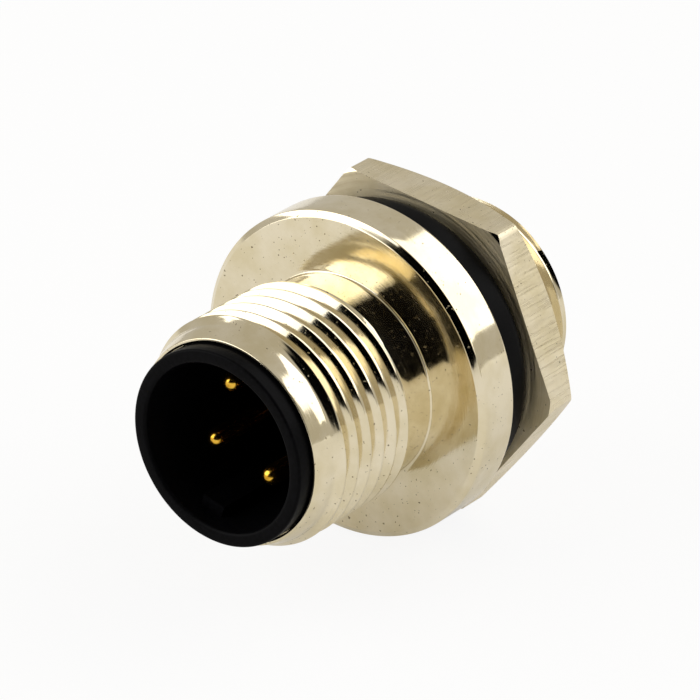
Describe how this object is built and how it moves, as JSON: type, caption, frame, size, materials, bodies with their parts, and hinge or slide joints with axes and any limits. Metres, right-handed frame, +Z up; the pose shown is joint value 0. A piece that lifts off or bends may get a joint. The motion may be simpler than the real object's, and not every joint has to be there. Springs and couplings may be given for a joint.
{
  "type": "m12 panel-mount connector",
  "caption": "Round threaded panel-mount plug connector: pins in a black insulator inside a plated metal shell with a flange, a seal, a hexagonal panel nut and solder cups.",
  "frame": {"origin": "on the connector's axis, on the rear face of the flange that clamps on the panel", "axes": "-Y along the axis to the mating side, +Y to the solder side, +Z up, +X to the right as seen from the mating side"},
  "size_m": [0.0184, 0.0243, 0.0172],
  "materials": {
    "nickel_plated_shell": "nickel-plated turned brass, bright",
    "nickel_plated_nut": "nickel-plated drawn brass, satin",
    "gold_plated_brass": "gold plated, bright",
    "black_polyamide": "moulded, satin",
    "nitrile_rubber": "moulded, matt",
    "fluoro_rubber": "moulded, matt"
  },
  "bodies": {
    "connector": {"shell": "nickel_plated_shell", "contact_carrier": "black_polyamide", "contact_1": "gold_plated_brass", "contact_2": "gold_plated_brass", "contact_3": "gold_plated_brass", "contact_4": "gold_plated_brass", "carrier_seal": "fluoro_rubber", "rear_insulator": "black_polyamide", "panel_seal": "nitrile_rubber"},
    "nut": {"hex_nut": "nickel_plated_nut"}
  },
  "joints": [
    {"name": "nut_travel", "type": "slide", "parent": "connector", "child": "nut", "axis": [0, 1, 0], "range_m": [0, 0.004]}
  ]
}
